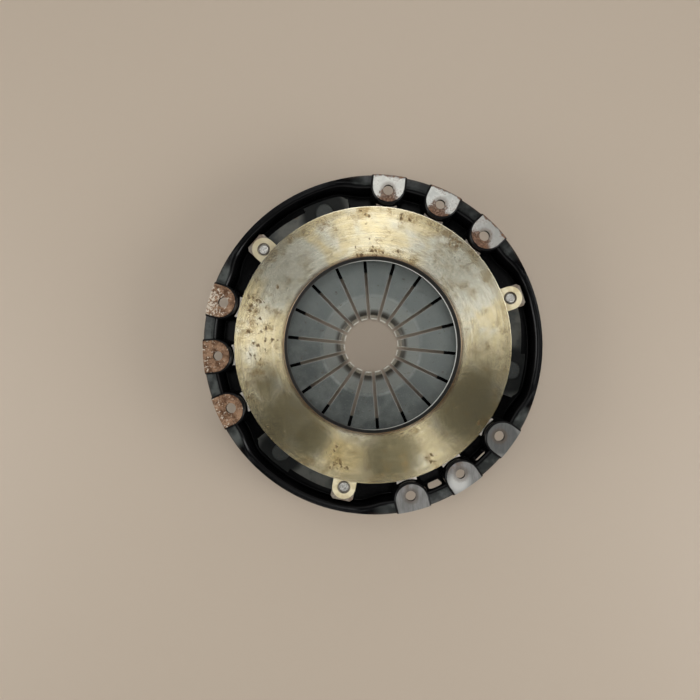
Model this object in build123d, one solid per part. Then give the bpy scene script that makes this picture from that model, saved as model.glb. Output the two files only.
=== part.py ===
"""Clutch cover assembly of the push type with a diaphragm spring, 240 mm size.

Frame: millimetres. The origin lies on the turning axis, in the plane of the nine
pads that are bolted to the flywheel. +Z points at the flywheel, so the whole
assembly hangs below Z = 0. It is drawn as it lies on a bench, unbolted: the
spring is a free cone and the pressure plate is at the flywheel end of its travel.
"""
from build123d import *
from math import cos, radians, sin, tan
import os

# ---------------------------------------------------------------- driving sizes
# Pressure plate
friction_outer_radius = 122.0
friction_width = 44.7          # of the ring that the facing rubs on
friction_depth = 5.0           # friction face below the pad faces, plate at rest
friction_chamfer = 0.9
plate_travel = 4.0             # from the free position to fully released
rim_thickness = 7.0
rim_overhang = 8.7             # thin rim outside the thick web
web_thickness = 15.0
inner_lip_thickness = 18.0
inner_lip_width = 4.5
ridge_inset = 3.0              # edge of the web to the middle of the fulcrum ridge
ridge_width = 5.0
ridge_gaps = 9                 # air gaps that part the ridge
ridge_gap_width = 14.0
nub_width = 18.0               # balance nubs on the rim, one facing each pad
nub_gap = 0.7                  # nub to the pad's outer wall
nub_hollow_radius = 22.0
nub_drop = 2.3
nub_height = 4.7

# Pressed cover
sheet = 3.5                    # thickness of the pressed steel
bend = 2.0                     # inside radius of its bends
groups = 3                     # groups of bolt pads, and as many lugs and straps
group_angle = 64.2             # middle of the first group, degrees from +X
pads_per_group = 3
pad_pitch = 20.0               # degrees between two pads of a group
bolt_circle_offset = 13.5      # bolt circle outside the friction face
screw_hole_radius = 4.5        # clears an M8 screw
dowel_hole_radius = 4.1        # slides on an 8 mm dowel: the middle hole of a group
flange_margin = 13.0           # bolt circle to the rim
flange_width = 11.1            # rim to the inner face of the wall, beside the pads
pad_flat_width = 26.0          # bare face of a pad
pad_flat_reach = 9.3           # bolt hole centre to that face's rounded inner end
pad_edge_radius = 2.6          # painted bend round the bare face
pad_rise = 3.0                 # pad face above the flange beside it
low_rim_drop = 8.0             # lip in the strap bays, below the pad faces
low_rim_width = 6.5
bay_clearance = 3.0            # lug foot to the wall of its bay
bay_half_angle = 20.0          # strap bay at its full width, each side of its middle
ramp_angle = 11.0              # turn over which the flange drops into the bay
ramp_steps = 5                 # straight pieces that make up that S-shaped drop
ledge_margin = 7.0             # flat ledge outside the dome, where the wall's section ends
dome_gap = 1.5                 # plate rim to the dome wall inside it
dome_taper = 4.0               # the dome narrows by this much down to its back
shoulder_width = 14.0          # flat ring that the assembly stands on
back_recess = 3.0              # rivet heads sit this far inside that ring
opening_margin = 19.1          # fulcrum rivets to the edge of the central opening
vent_width = 12.5              # the two windows in the wall, between pads
vent_corner = 4.0
vent_top_drop = 8.0            # top of the windows below the pad faces
vent_feet = {294.2: 28.0, 314.2: 22.5}  # direction of each window and its foot's drop

# Lugs, leaf straps and their rivets
strap_circle_offset = 6.0      # rivets at both ends of a strap, outside the friction face
strap_span_angle = 29.0        # turn from the lug rivet to the cover rivet
lug_drop = 1.1                 # lug top below the friction face
lug_thickness = 8.9
lug_nose_radius = 10.3
lug_foot_width = 20.0
lug_foot_reach = 12.5          # rivet to the foot's outer face
lug_foot_step = 3.6            # foot below the lug top
lug_foot_corner = 2.5
leaf_count = 3
leaf_pitch = 0.8               # one leaf on top of the other
leaf_play = 0.02               # air between two leaves
leaf_width = 13.6              # of the curved strip between its ends
leaf_lug_end_radius = 9.9
leaf_lug_flat = 13.0           # flat part of the lug end, from the rivet
end_plate_inside = 11.0        # broad plate at the cover end: rivet to its inner edge,
end_plate_outside = 10.7       # to its outer edge,
end_plate_near = 15.4          # to the step towards the lug,
end_plate_far = 23.0           # and to its rounded far end
end_plate_corner = 9.0
strap_set = 4.1                # rest drop from the lug end to the cover end
seat_margin = 1.3              # pressed seat of the cover, beyond that plate
seat_edge_radius = 1.6
seat_rise = 2.5                # that seat above the ledge
lug_window_radius = 9.0        # hole in the ledge under each lug rivet
rivet_radius = 4.0
rivet_head_radius = 7.8
rivet_head_height = 1.8
lug_rivet_head_radius = 4.6
lug_rivet_head_drop = 0.5      # its top below the lug top
lug_rivet_well_radius = 5.4
lug_rivet_well_depth = 2.6
rivet_tail_radius = 6.3
rivet_tail_height = 2.6
rivet_play = 0.05              # rivet in its hole, all round
head_rounding = 0.8
tail_rounding = 1.1

# Diaphragm spring and its fulcrum
spring_thickness = 2.5
spring_margin = 2.7            # spring rim outside the plate's ridge
lever = 15.1                   # plate's ridge to the fulcrum rings
wire_radius = 2.0              # the two fulcrum rings are bent from this wire
cone_angle = 8.0               # free cone, degrees
finger_count = 18
slot_angle = 14.4              # first slot, degrees from +X
slot_width = 3.0
finger_tip_radius = 25.2
finger_tip_length = 3.7        # tip to the foot of the step
finger_step_length = 2.8
finger_step_drop = 1.8
finger_flat_length = 15.3      # step to the bend; the fingers run flatter inside it
finger_flat_angle = 2.0
eye_width = 12.5               # eye at the outer end of each slot
eye_length = 11.0
eye_corner = 3.5
fulcrum_rivet_count = 9
shoulder_radius = 4.0
shank_radius = 3.2
fulcrum_head_radius = 7.4
fulcrum_head_height = 2.5
fulcrum_head_clearance = 4.0   # to the plate's web, plate fully released
fulcrum_tail_radius = 5.6
fulcrum_tail_height = 2.3
contact_gap = 0.1              # wire to spring and cover, same body
ridge_clearance = 0.3          # plate ridge to spring

over = 1.0                     # how far a cut runs past the face it opens

# ------------------------------------------------------------- sizes that follow
friction_inner_radius = friction_outer_radius - friction_width
web_outer_radius = friction_outer_radius - rim_overhang
ridge_radius = web_outer_radius - ridge_inset
bolt_circle_radius = friction_outer_radius + bolt_circle_offset
strap_circle_radius = friction_outer_radius + strap_circle_offset
rim_radius = bolt_circle_radius + flange_margin
wall_radius = rim_radius - flange_width
bay_wall_radius = strap_circle_radius + lug_foot_reach + bay_clearance
low_rim_radius = bay_wall_radius + low_rim_width
group_half_angle = 180 / groups - bay_half_angle - ramp_angle
pad_width = pad_flat_width + 2 * pad_edge_radius
pad_nose_radius = bolt_circle_radius - pad_flat_reach - pad_edge_radius
dome_radius = friction_outer_radius + dome_gap
dome_foot_radius = dome_radius - dome_taper
recess_radius = dome_foot_radius - shoulder_width

leaf_stack = leaf_count * leaf_pitch
strap_length = 2 * strap_circle_radius * sin(radians(strap_span_angle / 2))
strap_half_angle = strap_span_angle / 2
lug_top = -friction_depth - lug_drop
lug_bottom = lug_top - lug_thickness
seat_top = lug_bottom - leaf_stack - strap_set
ledge = seat_top - seat_rise
ledge_under = ledge - sheet
plate_rim_bottom = -friction_depth - rim_thickness
web_bottom = -friction_depth - web_thickness

slope = radians(cone_angle)
flat_slope = radians(finger_flat_angle)
spring_rise = spring_thickness / cos(slope)
wire_reach = (wire_radius + contact_gap) / cos(slope)
fulcrum_head_top = web_bottom - plate_travel - fulcrum_head_clearance
fulcrum_head_level = fulcrum_head_top - fulcrum_head_height
high_wire_level = fulcrum_head_level - contact_gap - wire_radius
spring_top = high_wire_level - wire_reach
spring_underside = spring_top - spring_rise
low_wire_level = spring_underside - wire_reach
recess_floor = low_wire_level - wire_radius - contact_gap
shoulder_floor = recess_floor - back_recess
back_face = shoulder_floor - sheet

fulcrum_radius = ridge_radius - lever
spring_outer_radius = ridge_radius + spring_margin
fulcrum_rivet_radius = fulcrum_radius - wire_radius - shoulder_radius - contact_gap
cover_opening_radius = fulcrum_rivet_radius - opening_margin
ridge_bottom = spring_top + lever * tan(slope) + ridge_clearance
finger_step_inner = finger_tip_radius + finger_tip_length
finger_step_outer = finger_step_inner + finger_step_length
finger_bend_radius = finger_step_outer + finger_flat_length

group_angles = [group_angle + 360 / groups * i for i in range(groups)]
pad_offsets = [pad_pitch * (i - (pads_per_group - 1) / 2) for i in range(pads_per_group)]
pad_angles = [g + o for g in group_angles for o in pad_offsets]
screw_angles = [a for a in pad_angles if a not in group_angles]
bay_angles = [g + 180 / groups for g in group_angles]
lug_angles = [b + strap_half_angle for b in bay_angles]
seat_angles = [b - strap_half_angle for b in bay_angles]

slot_angles = [slot_angle + 360 / finger_count * i for i in range(finger_count)]
fulcrum_rivet_angles = [slot_angle + 360 / fulcrum_rivet_count * i for i in range(fulcrum_rivet_count)]


# ---------------------------------------------------------------------- helpers
def turned(shape, angle):
    """The shape turned about the clutch axis."""
    return Rot(0, 0, angle) * shape


def disc(radius, low, high, at_radius=0.0, at_angle=0.0):
    """An upright cylinder between two levels, at a place given in polar form."""
    place = Rot(0, 0, at_angle) * Pos(at_radius, 0, (low + high) / 2)
    return place * Cylinder(radius, high - low)


def prism(plan, low, high):
    """A plan view drawn on XY, carried up from one level to another."""
    return Pos(0, 0, low) * extrude(plan, high - low)


def sheet_section(points, radii):
    """Section of bent sheet: its inner face runs through the points, outer edge first."""
    face_line = FilletPolyline(*[(r, 0, z) for r, z in points], radius=radii)
    return make_face(offset(face_line, amount=sheet, side=Side.RIGHT))


def ring_section(points):
    """A closed section in the plane of the axis."""
    return make_face(Polyline(*[(r, 0, z) for r, z in points], close=True))


def bead(radius, low, high, dome):
    """A rivet head: a short cylinder whose far edge is rounded by dome."""
    head = disc(radius, low, high)
    far_level = high if dome > 0 else low
    rim = head.edges().filter_by(GeomType.CIRCLE).filter_by_position(Axis.Z, far_level, far_level)
    return fillet(rim, abs(dome))


# ------------------------------------------------------------------------ cover
def rim_section(rim, lip_level, wall):
    """From the rim edge over the flange, down the wall and onto the ledge."""
    ledge_end = dome_radius + ledge_margin - over
    points = [(rim, lip_level), (wall, lip_level), (wall, ledge), (ledge_end, ledge)]
    return sheet_section(points, [bend + sheet, bend])


def flange_section():
    return rim_section(rim_radius, -pad_rise, wall_radius)


def lip_section():
    return rim_section(low_rim_radius, -low_rim_drop, bay_wall_radius)


def ramp(turn):
    """The S-shaped drop from the flange to the lip, over ramp_angle to the side of turn's sign."""
    sections = []
    for step in range(ramp_steps + 1):
        share = step / ramp_steps
        fall = share * share * (3 - 2 * share)
        rim = rim_radius + fall * (low_rim_radius - rim_radius)
        level = -pad_rise - fall * (low_rim_drop - pad_rise)
        wall = wall_radius + fall * (bay_wall_radius - wall_radius)
        sections.append(turned(rim_section(rim, level, wall), turn * share * ramp_angle))
    return loft(sections, ruled=True)


def bowl():
    """The rim and wall: three pad groups, three wider strap bays and the ramps between."""
    group_part = revolve(flange_section(), Axis.Z, 2 * group_half_angle)
    bay_part = revolve(lip_section(), Axis.Z, 2 * bay_half_angle)
    ramp_down = ramp(1)
    ramp_up = ramp(-1)
    parts = []
    for middle in group_angles:
        group_end = middle + group_half_angle
        bay_start = group_end + ramp_angle
        bay_end = bay_start + 2 * bay_half_angle
        parts += [
            turned(group_part, middle - group_half_angle),
            turned(ramp_down, group_end),
            turned(bay_part, bay_start),
            turned(ramp_up, bay_end + ramp_angle),
        ]
    return parts


def dome():
    """Ledge, inner wall, the ring it stands on, and the recessed back."""
    points = [
        (dome_radius + ledge_margin, ledge),
        (dome_radius, ledge),
        (dome_foot_radius, shoulder_floor),
        (recess_radius, shoulder_floor),
        (recess_radius - back_recess, recess_floor),
        (cover_opening_radius, recess_floor),
    ]
    radii = [bend + sheet, bend, bend, bend + sheet]
    return revolve(sheet_section(points, radii), Axis.Z, 360)


def pad_plan(width, nose):
    """A pad seen from above: straight sides and a half-round inner end."""
    middle = nose + width / 2
    return Pos(middle, 0) * Circle(width / 2) + Pos(middle + width, 0) * Rectangle(2 * width, width)


def pad_block():
    """A pad and the pilaster under it, down to the ledge."""
    plan = pad_plan(pad_width, pad_nose_radius)
    block = prism(plan & Circle(rim_radius), -pad_rise - sheet, 0)
    top_edges = block.edges().filter_by_position(Axis.Z, 0, 0)
    inner_edges = [e for e in top_edges if e.center().X < rim_radius - over]
    block = fillet(inner_edges, pad_edge_radius)
    below = prism(plan & Circle(wall_radius + sheet), ledge_under, -pad_rise - sheet)
    return block + below


def screw_pocket():
    """The space behind a pad for the head of the screw and its socket."""
    plan = pad_plan(pad_width - 2 * sheet, pad_nose_radius + sheet)
    return prism(plan, back_face, -sheet)


def vent(foot_drop):
    """A round-cornered window through the wall, midway between two pads."""
    height = foot_drop - vent_top_drop
    plan = RectangleRounded(height, vent_width, vent_corner)
    middle = Pos(wall_radius - over, 0, -vent_top_drop - height / 2)
    return middle * Rot(0, 90, 0) * extrude(plan, 3 * sheet)


def end_plate_plan(margin):
    """The strap's broad cover end, its rivet on +X: an arc outside, rounded at the far end."""
    near = end_plate_near + margin
    far = end_plate_far + margin
    inner = strap_circle_radius - end_plate_inside - margin
    outer = strap_circle_radius + end_plate_outside + margin
    length = near + far
    depth = outer - inner
    plan = Pos(inner + depth / 2, (near - far) / 2) * Rectangle(depth, length) & Circle(outer)
    far_corners = plan.vertices().filter_by_position(Axis.Y, -far - over, -far + over)
    return fillet(far_corners, end_plate_corner + margin)


def seat_block():
    """A pressed seat for the strap's cover end, with its flute down the dome."""
    flute = prism(end_plate_plan(seat_margin), shoulder_floor, seat_top)
    top_edge = flute.edges().filter_by_position(Axis.Z, seat_top, seat_top)
    flute = fillet(top_edge, seat_edge_radius)
    far_out = strap_circle_radius + 2 * end_plate_outside
    outer_line = [
        (0, seat_top),
        (far_out, seat_top),
        (far_out, ledge_under),
        (dome_radius + sheet, ledge_under),
        (dome_foot_radius + sheet, shoulder_floor),
        (0, shoulder_floor),
    ]
    return flute & revolve(ring_section(outer_line), Axis.Z, 360)


def cover():
    """The pressed cover, with its holes and windows."""
    body = dome() + bowl()
    body += [turned(pad_block(), a) for a in pad_angles]
    body += [turned(seat_block(), a) for a in seat_angles]
    cuts = [turned(screw_pocket(), a) for a in pad_angles]
    cuts += [disc(screw_hole_radius, -2 * sheet, over, bolt_circle_radius, a) for a in screw_angles]
    cuts += [disc(dowel_hole_radius, -2 * sheet, over, bolt_circle_radius, a) for a in group_angles]
    cuts += [turned(vent(foot), a) for a, foot in vent_feet.items()]
    pocket = prism(end_plate_plan(seat_margin - sheet), back_face - over, seat_top - sheet)
    for angle in seat_angles:
        cuts.append(turned(pocket, angle))
        drilled = rivet_radius + rivet_play
        cuts.append(disc(drilled, seat_top - 2 * sheet, seat_top + over, strap_circle_radius, angle))
    for angle in lug_angles:
        cuts.append(disc(lug_window_radius, ledge_under - over, seat_top, strap_circle_radius, angle))
    for angle in fulcrum_rivet_angles:
        drilled = shank_radius + rivet_play
        low = recess_floor - 2 * sheet
        cuts.append(disc(drilled, low, recess_floor + over, fulcrum_rivet_radius, angle))
    return body - cuts


# --------------------------------------------------------------- pressure plate
def plate_ring():
    """The cast ring: friction face, thin rim, thick web, inner lip and fulcrum ridge."""
    face = -friction_depth
    ridge_low = ridge_radius - ridge_width / 2
    ridge_high = ridge_radius + ridge_width / 2
    points = [
        (friction_inner_radius + friction_chamfer, face),
        (friction_outer_radius, face),
        (friction_outer_radius, plate_rim_bottom),
        (web_outer_radius, plate_rim_bottom),
        (ridge_high, web_bottom),
        (ridge_high, ridge_bottom),
        (ridge_low, ridge_bottom),
        (ridge_low, web_bottom),
        (friction_inner_radius + 2 * inner_lip_width, web_bottom),
        (friction_inner_radius + inner_lip_width, face - inner_lip_thickness),
        (friction_inner_radius, face - inner_lip_thickness),
        (friction_inner_radius, face - friction_chamfer),
    ]
    section = ring_section(points)
    tip = [v for v in section.vertices() if abs(v.Z - ridge_bottom) < 0.01]
    section = fillet(tip, ridge_width / 2 - 0.2)
    return revolve(section, Axis.Z, 360)


def ridge_gap():
    """Air gap through the ridge, below the web."""
    low = ridge_bottom - over
    height = web_bottom - low
    block = Box(4 * ridge_width, ridge_gap_width, height)
    return Pos(ridge_radius, 0, low + height / 2) * block


def lug():
    """A lug: round-nosed top with a square-cornered foot that the straps lie under."""
    root = web_outer_radius - over
    nose_plan = Pos(strap_circle_radius, 0) * Circle(lug_nose_radius)
    reach = strap_circle_radius - root
    nose_plan += Pos(root + reach / 2, 0) * Rectangle(reach, 2 * lug_nose_radius)
    nose = prism(nose_plan, lug_bottom, lug_top)
    foot_end = strap_circle_radius + lug_foot_reach
    foot_plan = Pos((root + foot_end) / 2, 0) * Rectangle(foot_end - root, lug_foot_width)
    corners = foot_plan.vertices().group_by(Axis.X)[-1]
    foot = prism(chamfer(corners, lug_foot_corner), lug_bottom, lug_top - lug_foot_step)
    return nose + foot


def nub():
    """A balance nub on the rim, hollowed to follow the pocket wall of its pad."""
    low_face = pad_nose_radius - nub_gap
    length = low_face - friction_outer_radius + pad_width / 2
    centre = friction_outer_radius - pad_width / 8 + length / 2
    top = -friction_depth - nub_drop
    plan = Pos(centre, 0) * Rectangle(length, nub_width)
    plan -= Pos(low_face + nub_hollow_radius, 0) * Circle(nub_hollow_radius)
    return prism(plan, top - nub_height, top)


def pressure_plate():
    body = plate_ring()
    gap_pitch = 360 / ridge_gaps
    body -= [turned(ridge_gap(), lug_angles[0] + gap_pitch * i) for i in range(ridge_gaps)]
    body += [turned(lug(), a) for a in lug_angles]
    body += [turned(nub(), a) for a in pad_angles]
    well_floor = lug_top - lug_rivet_well_depth
    drilled = rivet_radius + rivet_play
    cuts = []
    for angle in lug_angles:
        cuts.append(disc(lug_rivet_well_radius, well_floor, lug_top + over, strap_circle_radius, angle))
        cuts.append(disc(drilled, lug_bottom - over, lug_top, strap_circle_radius, angle))
    return body - cuts


# -------------------------------------------------------------- strap and rivets
def strap_plan():
    """A leaf seen from above: lug end and seat end at equal turns above and below +X."""
    lug_end = Rot(0, 0, strap_half_angle) * Pos(strap_circle_radius, 0)
    seat_end = Rot(0, 0, -strap_half_angle)
    reach = 2 * strap_circle_radius
    rise = reach * tan(radians(strap_half_angle))
    wedge = make_face(Polyline((0, 0), (reach, -rise), (reach, rise), close=True))
    half_width = leaf_width / 2
    strip = Circle(strap_circle_radius + half_width) - Circle(strap_circle_radius - half_width)
    plan = (strip & wedge) + lug_end * Circle(leaf_lug_end_radius) + seat_end * end_plate_plan(0)
    drilled = Circle(rivet_radius + rivet_play)
    return plan - lug_end * drilled - seat_end * Pos(strap_circle_radius, 0) * drilled


def strap_leaf(index):
    """One leaf of a pack, set down from the lug to the cover, leaf 0 on top."""
    lug_reach = leaf_lug_end_radius + over
    seat_reach = strap_length + end_plate_far + 2 * over
    half_width = 2 * end_plate_inside
    top = lug_bottom - index * leaf_pitch - leaf_play
    low = top - strap_set
    drop = leaf_pitch - 2 * leaf_play
    seat_start = strap_length - end_plate_near - 2 * over
    path = [(-lug_reach, top), (leaf_lug_flat, top), (seat_start, low), (seat_reach, low)]
    outline = path + [(x, z - drop) for x, z in reversed(path)]
    band = extrude(ring_section(outline), amount=half_width, both=True)
    lean = 90 + strap_half_angle
    band = Rot(0, 0, strap_half_angle) * Pos(strap_circle_radius, 0, 0) * Rot(0, 0, -lean) * band
    return band & prism(strap_plan(), low - 2 * drop, top + drop)


def lug_rivet():
    """Through a lug and its straps: round head in the well, flat tail below."""
    well_floor = lug_top - lug_rivet_well_depth
    tail_top = lug_bottom - leaf_stack
    head = bead(lug_rivet_head_radius, well_floor, lug_top - lug_rivet_head_drop, tail_rounding)
    shank = disc(rivet_radius, tail_top, well_floor)
    tail = bead(rivet_tail_radius, tail_top - rivet_tail_height, tail_top, -tail_rounding)
    return Pos(strap_circle_radius, 0, 0) * (head + shank + tail)


def strap_rivet():
    """Through the straps and the cover's seat: flat head above, tail in the pocket."""
    head_base = seat_top + leaf_stack
    head = bead(rivet_head_radius, head_base, head_base + rivet_head_height, head_rounding)
    shank = disc(rivet_radius, seat_top - sheet, head_base)
    tail_top = seat_top - sheet
    tail = bead(rivet_tail_radius, tail_top - rivet_tail_height, tail_top, -tail_rounding)
    return Pos(strap_circle_radius, 0, 0) * (head + shank + tail)


# ---------------------------------------------------- diaphragm spring, fulcrum
def spring_disc():
    """The coned disc with its flatter finger ends and stepped tips, uncut."""
    def level(radius):
        """Height of the underside at a radius of the cone or of the flat part."""
        if radius >= finger_bend_radius:
            return spring_underside + (radius - fulcrum_radius) * tan(slope)
        edge = spring_underside + (finger_bend_radius - fulcrum_radius) * tan(slope)
        return edge + (radius - finger_bend_radius) * tan(flat_slope)

    tip_level = level(finger_step_inner) - finger_step_drop
    under = [
        (spring_outer_radius, level(spring_outer_radius)),
        (finger_bend_radius, level(finger_bend_radius)),
        (finger_step_outer, level(finger_step_outer)),
        (finger_step_inner, tip_level),
        (finger_tip_radius, tip_level),
    ]
    over = [(r, z + spring_rise) for r, z in reversed(under)]
    return revolve(ring_section(under + over), Axis.Z, 360)


def finger_slot():
    """A slot between two fingers and the eye at its outer end."""
    reach = fulcrum_rivet_radius
    plan = Pos(reach / 2, 0) * Rectangle(reach, slot_width)
    eye = RectangleRounded(eye_length, eye_width, eye_corner)
    return plan + Pos(fulcrum_rivet_radius - (eye_length / 2 - shoulder_radius), 0) * eye


def diaphragm_spring():
    cut = prism(finger_slot(), 2 * back_face, 0)
    return spring_disc() - [turned(cut, a) for a in slot_angles]


def fulcrum_ring(level):
    return Pos(0, 0, level) * Torus(fulcrum_radius, wire_radius)


def fulcrum_rivet():
    """Shouldered rivet: head over the upper ring, shank through the cover's back."""
    head = bead(fulcrum_head_radius, fulcrum_head_level, fulcrum_head_top, head_rounding)
    shoulder = disc(shoulder_radius, recess_floor, fulcrum_head_level)
    shank = disc(shank_radius, recess_floor - sheet, recess_floor)
    tail_top = recess_floor - sheet
    tail = bead(fulcrum_tail_radius, tail_top - fulcrum_tail_height, tail_top, -tail_rounding)
    return Pos(fulcrum_rivet_radius, 0, 0) * (head + shoulder + shank + tail)


# ----------------------------------------------------------------------- output
def all_pieces():
    """Every separate piece of the assembly, by its node name."""
    pieces = {
        "cover": cover(),
        "pressure_plate": pressure_plate(),
        "diaphragm_spring": diaphragm_spring(),
        "fulcrum_ring_cover_side": fulcrum_ring(low_wire_level),
        "fulcrum_ring_plate_side": fulcrum_ring(high_wire_level),
    }
    for number, angle in enumerate(fulcrum_rivet_angles, 1):
        pieces[f"fulcrum_rivet_{number}"] = turned(fulcrum_rivet(), angle)
    for number, middle in enumerate(bay_angles, 1):
        for index in range(leaf_count):
            pieces[f"strap_{number}_leaf_{index + 1}"] = turned(strap_leaf(index), middle)
        pieces[f"lug_rivet_{number}"] = turned(lug_rivet(), middle + strap_half_angle)
        pieces[f"cover_strap_rivet_{number}"] = turned(strap_rivet(), middle - strap_half_angle)
    return pieces


os.makedirs("parts", exist_ok=True)
for name, piece in all_pieces().items():
    export_step(piece, f"parts/{name}.step")
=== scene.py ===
# %% [markdown]
# # A clutch cover assembly, dressed for the camera
# The real object is a pressed steel cover, painted gloss black, that holds a ground cast-iron
# ring plate on nine thin spring leaves and presses it with a slotted diaphragm spring. The
# solids already have the right sizes, so this lesson keeps their shapes and gives every piece
# the surface that steel, paint, rust and grinding give it. We start with the frame: it puts
# each solid in place.

# %% Load the frame
import math

import bmesh
import bpy
import numpy as np
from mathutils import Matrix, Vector


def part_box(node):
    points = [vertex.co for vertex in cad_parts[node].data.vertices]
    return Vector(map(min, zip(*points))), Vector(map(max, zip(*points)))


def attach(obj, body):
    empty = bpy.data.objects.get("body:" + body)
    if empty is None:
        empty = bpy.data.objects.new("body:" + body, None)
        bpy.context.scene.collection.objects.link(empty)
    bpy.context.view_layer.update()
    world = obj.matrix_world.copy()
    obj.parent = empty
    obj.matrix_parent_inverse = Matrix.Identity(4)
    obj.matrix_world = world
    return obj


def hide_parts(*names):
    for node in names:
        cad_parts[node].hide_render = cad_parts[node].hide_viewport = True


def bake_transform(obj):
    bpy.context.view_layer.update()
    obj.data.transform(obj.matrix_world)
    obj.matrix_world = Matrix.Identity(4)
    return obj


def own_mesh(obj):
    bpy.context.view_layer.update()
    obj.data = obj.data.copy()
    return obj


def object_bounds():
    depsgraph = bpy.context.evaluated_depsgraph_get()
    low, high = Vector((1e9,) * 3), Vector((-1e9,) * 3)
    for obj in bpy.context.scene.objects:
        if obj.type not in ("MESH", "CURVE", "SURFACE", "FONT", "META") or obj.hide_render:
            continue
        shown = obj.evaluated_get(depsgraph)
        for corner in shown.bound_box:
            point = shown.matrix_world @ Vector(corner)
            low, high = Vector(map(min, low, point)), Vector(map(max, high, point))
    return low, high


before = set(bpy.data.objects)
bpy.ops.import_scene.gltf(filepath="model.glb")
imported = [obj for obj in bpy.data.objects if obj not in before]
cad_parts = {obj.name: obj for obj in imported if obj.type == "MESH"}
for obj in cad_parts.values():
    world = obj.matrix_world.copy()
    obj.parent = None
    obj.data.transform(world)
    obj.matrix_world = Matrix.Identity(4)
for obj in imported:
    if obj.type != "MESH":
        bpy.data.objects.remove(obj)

cad_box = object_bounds()
scene = bpy.context.scene
MM = 0.001
print(len(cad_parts), "solids, box", [tuple(round(v, 4) for v in corner) for corner in cad_box])

# %% [markdown]
# ## Shader maths as Python
# A finish is a formula over the surface: "rust where the noise is high and the pad is bare".
# Wiring such formulas node by node hides them, so a small class wraps one output socket and
# lets Python's operators add the Math nodes.

# %% A socket that does arithmetic
class Wire:
    """One output socket. Arithmetic on it adds Math nodes, with plain numbers or other wires."""

    def __init__(self, finish, socket):
        self.finish = finish
        self.socket = socket

    def math(self, operation, *others):
        sockets = dict(enumerate((self, *others)))
        return self.finish.node("ShaderNodeMath", {"operation": operation}, sockets)

    def __add__(self, other):
        return self.math("ADD", other)

    def __radd__(self, other):
        return self.math("ADD", other)

    def __sub__(self, other):
        return self.math("SUBTRACT", other)

    def __rsub__(self, other):
        return self.finish.node("ShaderNodeMath", {"operation": "SUBTRACT"}, {0: other, 1: self})

    def __mul__(self, other):
        return self.math("MULTIPLY", other)

    def __rmul__(self, other):
        return self.math("MULTIPLY", other)

    def __truediv__(self, other):
        return self.math("DIVIDE", other)

    def __rtruediv__(self, other):
        return self.finish.node("ShaderNodeMath", {"operation": "DIVIDE"}, {0: other, 1: self})

    def __pow__(self, other):
        return self.math("POWER", other)

    def __gt__(self, other):
        return self.math("GREATER_THAN", other)

    def __lt__(self, other):
        return self.math("LESS_THAN", other)

    def rise(self, low, high):
        """0 below low, 1 above high, an S curve between them; low may be the larger one."""
        ends = (0.0, 1.0) if low <= high else (1.0, 0.0)
        sockets = {0: self, 1: min(low, high), 2: max(low, high), 3: ends[0], 4: ends[1]}
        return self.finish.node("ShaderNodeMapRange", {"interpolation_type": "SMOOTHSTEP"}, sockets)


print("arithmetic ready: 1 - mask works:", hasattr(Wire, "__rsub__"))

# %% [markdown]
# A second class holds one material. It has the one method that makes any kind of node, with
# its settings first and its sockets after, because some sockets only appear once a setting is
# made. The patterns that come back in every finish, such as clouds of noise, have short names.

# %% A material that is written as formulas
class Finish:
    """One material. node() makes any node; the rest are short names for common formulas."""

    def __init__(self, name):
        self.material = bpy.data.materials.new(name)
        self.material.use_nodes = True
        self.tree = self.material.node_tree
        self.tree.nodes.clear()
        self.output = self.tree.nodes.new("ShaderNodeOutputMaterial")

    def node(self, kind, settings=None, sockets=None, out=0):
        """A node of this kind: settings first, then its sockets, as values or wires."""
        made = self.tree.nodes.new(kind)
        for key, value in (settings or {}).items():
            setattr(made, key, value)
        for key, value in (sockets or {}).items():
            if isinstance(value, Wire):
                self.tree.links.new(value.socket, made.inputs[key])
            else:
                made.inputs[key].default_value = value
        return Wire(self, made.outputs[out])

    def place(self):
        """The point's x, y and z in millimetres, in the object's own frame."""
        where = self.node("ShaderNodeTexCoord", out="Object")
        return [self.node("ShaderNodeSeparateXYZ", None, {0: where}, out=i) * 1000.0 for i in range(3)]

    def vector(self, x, y, z):
        return self.node("ShaderNodeCombineXYZ", None, {0: x, 1: y, 2: z})

    def noise(self, size, detail=2.0, rough=0.5, at=None, warp=0.0):
        """Clouds about size millimetres wide, from 0 to 1 with a mean of one half."""
        at = at or self.vector(*self.place())
        sockets = {"Vector": at, "Scale": 1.0 / size, "Detail": detail, "Roughness": rough}
        sockets["Distortion"] = warp
        return self.node("ShaderNodeTexNoise", None, sockets)

    def lines(self, along, size, detail=1.0):
        """Noise of one number only, such as the radius: it draws rings or spokes."""
        sockets = {"W": along, "Scale": 1.0 / size, "Detail": detail, "Roughness": 0.6}
        return self.node("ShaderNodeTexNoise", {"noise_dimensions": "1D"}, sockets)

    def mix(self, mask, off, on):
        """Colour off where the mask is 0 and colour on where it is 1."""
        return self.node("ShaderNodeMix", {"data_type": "RGBA"}, {0: mask, 6: off, 7: on}, out=2)

    def upward(self, normal):
        """How far the surface faces up, 1 where it lies level: normal is Normal or True Normal."""
        direction = self.node("ShaderNodeNewGeometry", out=normal)
        return self.node("ShaderNodeSeparateXYZ", None, {0: direction}, out=2)

    def bump(self, height, depth, normal=None):
        """A normal for a height of 0 to 1 that stands for depth millimetres."""
        sockets = {"Height": height, "Distance": depth * MM, "Strength": 1.0}
        if normal:
            sockets["Normal"] = normal
        return self.node("ShaderNodeBump", None, sockets)

    def surface(self, **sockets):
        """The one shader, with its sockets named by words joined by underscores."""
        named = {key.replace("_", " "): value for key, value in sockets.items()}
        shader = self.node("ShaderNodeBsdfPrincipled", None, named)
        self.tree.links.new(shader.socket, self.output.inputs["Surface"])
        return self.material


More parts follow.
